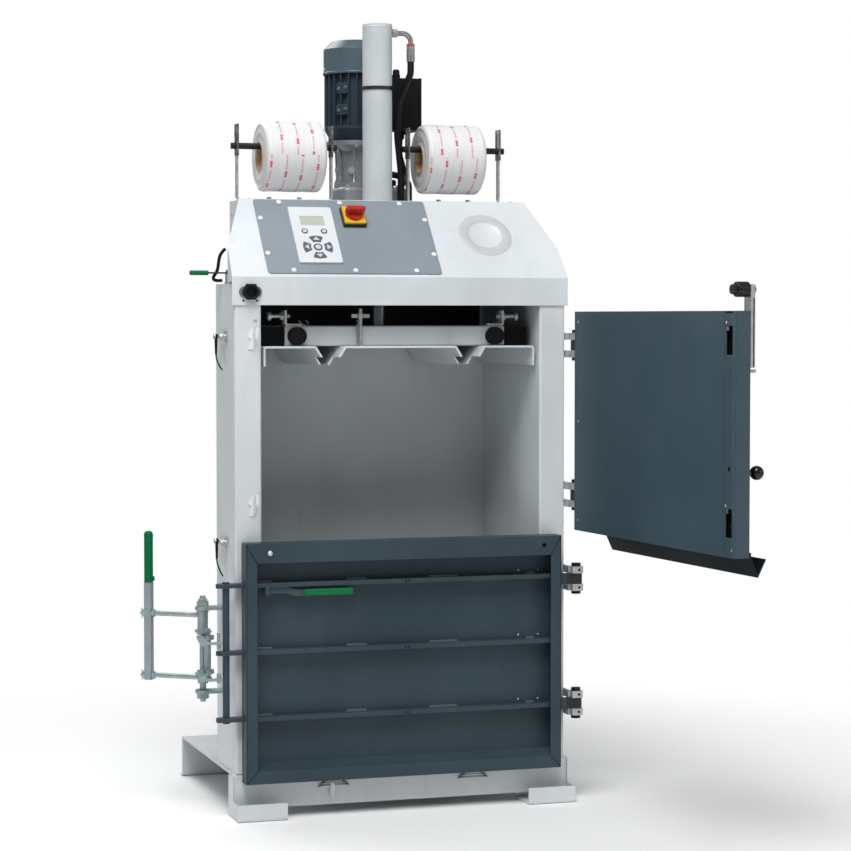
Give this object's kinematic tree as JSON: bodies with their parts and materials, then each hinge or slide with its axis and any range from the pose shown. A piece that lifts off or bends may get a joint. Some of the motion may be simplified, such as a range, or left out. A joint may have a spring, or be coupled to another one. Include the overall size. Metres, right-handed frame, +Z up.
{
  "type": "recycling baler",
  "caption": "Upright hydraulic baler for cardboard: chamber with two hinged front doors, sloping control hood, cylinder and motor on top, two strap rolls, side toggle latch.",
  "frame": {"origin": "on the floor, midway between the posts, in the plane of their front faces", "axes": "+X to the right seen from the front, +Y to the rear, +Z up"},
  "size_m": [1.1863, 1.4883, 1.956],
  "materials": {
    "body_paint": "satin",
    "door_paint": "satin",
    "plate_paint": "satin",
    "zinc_steel": "galvanised",
    "dark_steel": "satin",
    "bright_steel": "polished",
    "motor_paint": "satin",
    "black_plastic": "matte",
    "grey_plastic": "matte",
    "white_plastic": "matte",
    "green_plastic": "semi-gloss",
    "red_plastic": "semi-gloss",
    "screen": "gloss",
    "black_rubber": "matte",
    "strap_white": "woven",
    "card": "raw card"
  },
  "bodies": {
    "frame": {"base_frame": "body_paint", "cabinet": "body_paint", "catch_loops": "black_rubber", "chamber_roof": "body_paint", "chamber_shell": "body_paint", "control_plate": "plate_paint", "cylinder_tube": "body_paint", "display": "screen", "fan_cover": "motor_paint", "frame_channels": "body_paint", "front_feet": "body_paint", "hinge_blocks": "zinc_steel", "hinge_bolts": "dark_steel", "hood": "body_paint", "hydraulic_hoses": "black_rubber", "interlock_socket": "black_plastic", "keepers": "zinc_steel", "keypad": "white_plastic", "motor_body": "motor_paint", "oil_tank": "body_paint", "plate_screws": "white_plastic", "port_elbow": "zinc_steel", "portal_posts": "body_paint", "reel_holders": "zinc_steel", "reel_rods": "dark_steel", "side_fittings": "zinc_steel", "switch_base": "black_plastic", "terminal_box": "black_plastic", "toggle_mount": "zinc_steel"},
    "switch_knob": {"switch_knob": "red_plastic"},
    "roll_left": {"roll_core_left": "card", "strap_roll_left": "strap_white"},
    "roll_right": {"roll_core_right": "card", "strap_roll_right": "strap_white"},
    "platen": {"platen_frame": "body_paint", "pressing_plates": "body_paint", "platen_buffers": "black_rubber", "platen_hardware": "zinc_steel", "piston_rod": "bright_steel"},
    "lower_door": {"lower_door": "door_paint", "lower_door_ribs": "door_paint", "lock_bar": "door_paint"},
    "release_lever": {"release_lever": "green_plastic"},
    "upper_door": {"upper_door": "door_paint", "door_apron": "door_paint", "interlock_strip": "zinc_steel", "interlock_plug": "black_plastic"},
    "latch": {"latch_bar": "zinc_steel", "ball_knob": "black_plastic"},
    "toggle_handle": {"toggle_handle": "zinc_steel", "toggle_grip": "green_plastic"},
    "toggle_claw": {"toggle_claw": "zinc_steel"},
    "side_lever": {"side_lever": "green_plastic"},
    "menu_button_left": {"menu_button_left": "grey_plastic"},
    "menu_button_right": {"menu_button_right": "grey_plastic"},
    "enter_button": {"enter_button": "grey_plastic"},
    "right_button": {"right_button": "grey_plastic"},
    "up_button": {"up_button": "grey_plastic"},
    "left_button": {"left_button": "grey_plastic"},
    "down_button": {"down_button": "grey_plastic"}
  },
  "joints": [
    {"name": "upper_door_swing", "type": "hinge", "parent": "frame", "child": "upper_door", "pos_m": [0.446, -0.028, 0.958], "axis": [0, 0, 1], "range_deg": [-94.2, 80]},
    {"name": "upper_latch_lift", "type": "slide", "parent": "upper_door", "child": "latch", "axis": [0, 0, 1], "range_m": [0, 0.014]},
    {"name": "lower_door_swing", "type": "hinge", "parent": "frame", "child": "lower_door", "pos_m": [0.446, -0.028, 0.404], "axis": [0, 0, 1], "range_deg": [0, 90]},
    {"name": "release_lever_swing", "type": "hinge", "parent": "lower_door", "child": "release_lever", "pos_m": [-0.352, -0.028, 0.556], "axis": [0, 0, 1], "range_deg": [-60, 0]},
    {"name": "toggle_handle_swing", "type": "hinge", "parent": "frame", "child": "toggle_handle", "pos_m": [-0.477, 0.127, 0.4], "axis": [0, 0, 1], "range_deg": [-60, 0]},
    {"name": "toggle_claw_swing", "type": "hinge", "parent": "toggle_handle", "child": "toggle_claw", "pos_m": [-0.47179, 0.09746, 0.39], "axis": [0, 0, 1], "range_deg": [-40, 18]},
    {"name": "side_lever_swing", "type": "hinge", "parent": "frame", "child": "side_lever", "pos_m": [-0.41, 0.12, 1.324], "axis": [0, 0, 1], "range_deg": [-60, 60]},
    {"name": "platen_press", "type": "slide", "parent": "frame", "child": "platen", "axis": [0, 0, 1], "range_m": [-0.5, 0]},
    {"name": "main_switch_turn", "type": "hinge", "parent": "frame", "child": "switch_knob", "pos_m": [-0.094, 0.10617, 1.47252], "axis": [0, -0.7576, 0.6527], "range_deg": [0, 90]},
    {"name": "roll_left_spin", "type": "hinge", "parent": "frame", "child": "roll_left", "pos_m": [-0.212, 0.29, 1.6223], "axis": [1, 0, 0], "continuous": true},
    {"name": "roll_right_spin", "type": "hinge", "parent": "frame", "child": "roll_right", "pos_m": [0.212, 0.29, 1.6223], "axis": [1, 0, 0], "continuous": true},
    {"name": "menu_button_left_press", "type": "slide", "parent": "frame", "child": "menu_button_left", "axis": [0, 0.7576, -0.6527], "range_m": [0, 0.001], "stiffness_N_per_m": 400},
    {"name": "menu_button_right_press", "type": "slide", "parent": "frame", "child": "menu_button_right", "axis": [0, 0.7576, -0.6527], "range_m": [0, 0.001], "stiffness_N_per_m": 400},
    {"name": "enter_button_press", "type": "slide", "parent": "frame", "child": "enter_button", "axis": [0, 0.7576, -0.6527], "range_m": [0, 0.001], "stiffness_N_per_m": 400},
    {"name": "right_button_press", "type": "slide", "parent": "frame", "child": "right_button", "axis": [0, 0.7576, -0.6527], "range_m": [0, 0.001], "stiffness_N_per_m": 400},
    {"name": "up_button_press", "type": "slide", "parent": "frame", "child": "up_button", "axis": [0, 0.7576, -0.6527], "range_m": [0, 0.001], "stiffness_N_per_m": 400},
    {"name": "left_button_press", "type": "slide", "parent": "frame", "child": "left_button", "axis": [0, 0.7576, -0.6527], "range_m": [0, 0.001], "stiffness_N_per_m": 400},
    {"name": "down_button_press", "type": "slide", "parent": "frame", "child": "down_button", "axis": [0, 0.7576, -0.6527], "range_m": [0, 0.001], "stiffness_N_per_m": 400}
  ]
}
